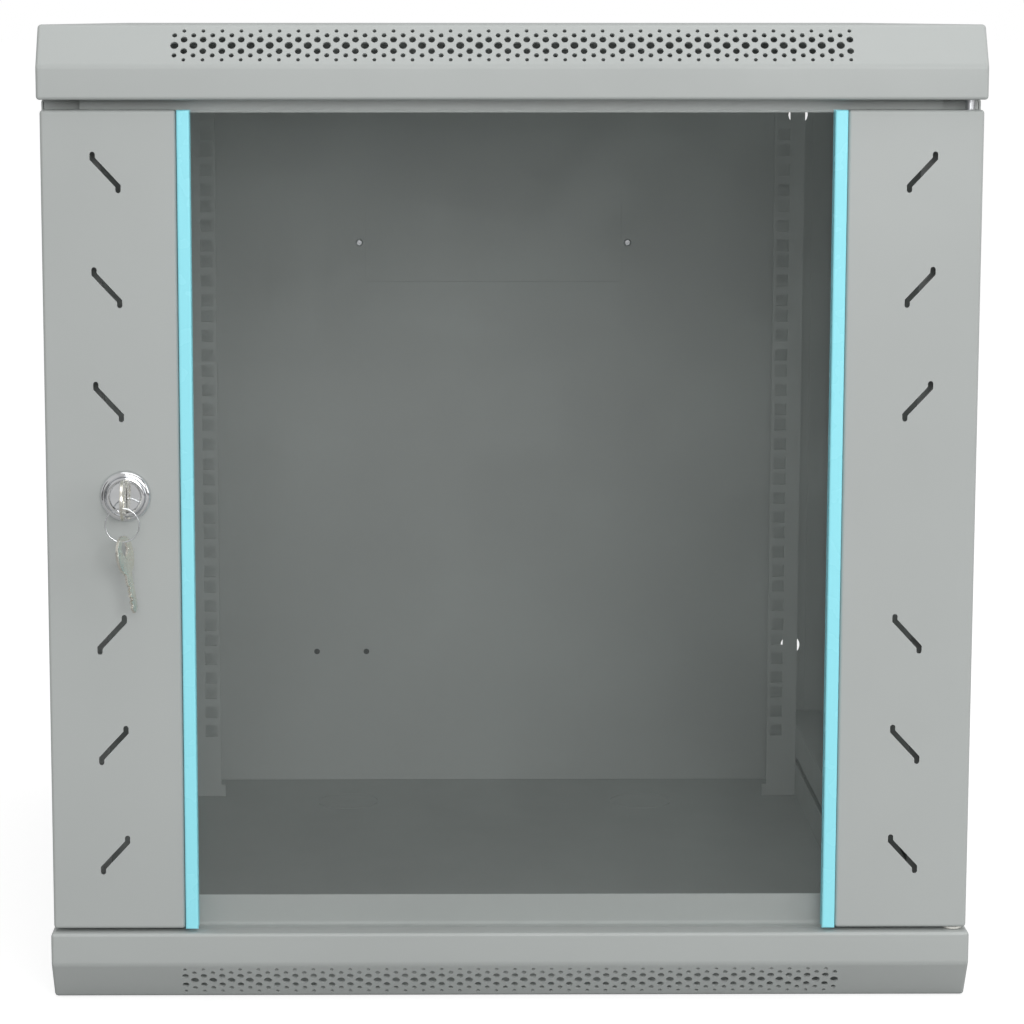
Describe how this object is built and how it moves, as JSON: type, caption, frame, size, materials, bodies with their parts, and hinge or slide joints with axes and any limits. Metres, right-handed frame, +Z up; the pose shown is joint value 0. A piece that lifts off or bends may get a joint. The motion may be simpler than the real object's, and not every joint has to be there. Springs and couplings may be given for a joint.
{
  "type": "network server rack cabinet",
  "caption": "Wall-mount rack cabinet for 19-inch equipment: steel frame and vented covers, glass door with lock, removable sides, rails that slide in depth.",
  "frame": {"origin": "middle of the underside of the bottom cover, on the face it stands on", "axes": "+Z up, -Y towards the front (the glass door), +X to the right of someone who looks at the door"},
  "size_m": [0.6, 0.6315, 0.635],
  "materials": {
    "painted_steel": "light grey powder coat, fine orange-peel, satin",
    "zinc_plated_steel": "bright zinc plate, satin",
    "chrome": "bright chrome plate",
    "nickel_silver": "nickel-plated brass key blank, lightly worn",
    "spring_steel": "bright drawn wire",
    "toughened_glass": "grey-green tinted toughened safety glass, polished",
    "blue_trim": "pale blue extruded plastic strip, satin gloss",
    "nylon": "natural nylon",
    "rubber": "black rubber",
    "brass": "plain brass"
  },
  "bodies": {
    "cabinet": {"bottom_cover": "painted_steel", "cable_cover_screw_left": "zinc_plated_steel", "cable_cover_screw_right": "zinc_plated_steel", "corner_post_front_left": "painted_steel", "corner_post_front_right": "painted_steel", "corner_post_rear_left": "painted_steel", "corner_post_rear_right": "painted_steel", "depth_bracket_lower_left": "painted_steel", "depth_bracket_lower_right": "painted_steel", "depth_bracket_upper_left": "painted_steel", "depth_bracket_upper_right": "painted_steel", "door_buffer_lower": "rubber", "door_buffer_upper": "rubber", "earth_stud": "brass", "lock_keeper": "zinc_plated_steel", "lower_hinge_pin": "zinc_plated_steel", "lower_hinge_washer": "nylon", "rear_cable_cover": "painted_steel", "rear_panel": "painted_steel", "rear_panel_nut_lower_left": "zinc_plated_steel", "rear_panel_nut_lower_right": "zinc_plated_steel", "rear_panel_nut_upper_left": "zinc_plated_steel", "rear_panel_nut_upper_right": "zinc_plated_steel", "top_cover": "painted_steel"},
    "front_rails": {"rack_rail_front_left": "painted_steel", "rack_rail_front_right": "painted_steel", "rail_bolt_front_left_lower": "zinc_plated_steel", "rail_bolt_front_left_upper": "zinc_plated_steel", "rail_bolt_front_right_lower": "zinc_plated_steel", "rail_bolt_front_right_upper": "zinc_plated_steel"},
    "rear_rails": {"rack_rail_rear_left": "painted_steel", "rack_rail_rear_right": "painted_steel", "rail_bolt_rear_left_lower": "zinc_plated_steel", "rail_bolt_rear_left_upper": "zinc_plated_steel", "rail_bolt_rear_right_lower": "zinc_plated_steel", "rail_bolt_rear_right_upper": "zinc_plated_steel"},
    "side_left": {"side_panel_left": "painted_steel", "side_latch_housing_left": "chrome"},
    "side_right": {"side_panel_right": "painted_steel", "side_latch_housing_right": "chrome"},
    "latch_left": {"side_latch_left": "chrome"},
    "latch_right": {"side_latch_right": "chrome"},
    "door": {"door_lock_stile": "painted_steel", "door_hinge_stile": "painted_steel", "door_glass": "toughened_glass", "glass_trim_left": "blue_trim", "glass_trim_right": "blue_trim", "lower_hinge_bush": "nylon", "lower_hinge_block": "zinc_plated_steel", "upper_hinge_bracket": "zinc_plated_steel", "lock_housing": "chrome", "lock_nut": "zinc_plated_steel"},
    "hinge_pin": {"upper_hinge_pin": "zinc_plated_steel", "upper_hinge_spring": "spring_steel"},
    "lock_turn": {"lock_plug": "chrome", "lock_cam": "zinc_plated_steel", "cam_screw": "zinc_plated_steel"},
    "key": {"door_key": "nickel_silver"},
    "ring": {"key_ring": "spring_steel"},
    "spare": {"spare_key": "nickel_silver"}
  },
  "joints": [
    {"name": "door_hinge", "type": "hinge", "parent": "cabinet", "child": "door", "pos_m": [0.2905, -0.287, 0.049], "axis": [0, 0, 1], "range_deg": [0, 180]},
    {"name": "upper_pin_slide", "type": "slide", "parent": "door", "child": "hinge_pin", "axis": [0, 0, -1], "range_m": [0, 0.0095], "stiffness_N_per_m": 250, "springref_m": -0.008, "deforming": ["upper_hinge_spring"]},
    {"name": "lock_quarter_turn", "type": "hinge", "parent": "door", "child": "lock_turn", "pos_m": [-0.2475, -0.2985, 0.3353], "axis": [0, 1, 0], "range_deg": [0, 90]},
    {"name": "key_withdrawal", "type": "slide", "parent": "lock_turn", "child": "key", "axis": [0, -1, 0], "range_m": [0, 0.026]},
    {"name": "key_ring_swing", "type": "hinge", "parent": "key", "child": "ring", "pos_m": [-0.2475, -0.3188, 0.33105], "axis": [1, 0, 0], "range_deg": [-45, 5]},
    {"name": "spare_key_swing", "type": "hinge", "parent": "ring", "child": "spare", "pos_m": [-0.2475, -0.3188, 0.30945], "axis": [1, 0, 0], "range_deg": [-45, 5]},
    {"name": "left_side_panel_removal", "type": "slide", "parent": "cabinet", "child": "side_left", "axis": [-1, 0, 0], "range_m": [0, 0.06]},
    {"name": "right_side_panel_removal", "type": "slide", "parent": "cabinet", "child": "side_right", "axis": [1, 0, 0], "range_m": [0, 0.06]},
    {"name": "left_side_latch_turn", "type": "hinge", "parent": "side_left", "child": "latch_left", "pos_m": [-0.2985, 0, 0.5597], "axis": [1, 0, 0], "range_deg": [0, 90]},
    {"name": "right_side_latch_turn", "type": "hinge", "parent": "side_right", "child": "latch_right", "pos_m": [0.2985, 0, 0.5597], "axis": [1, 0, 0], "range_deg": [0, 90]},
    {"name": "front_rail_depth", "type": "slide", "parent": "cabinet", "child": "front_rails", "axis": [0, 1, 0], "range_m": [0, 0.1]},
    {"name": "rear_rail_depth", "type": "slide", "parent": "cabinet", "child": "rear_rails", "axis": [0, -1, 0], "range_m": [0, 0.25]}
  ]
}
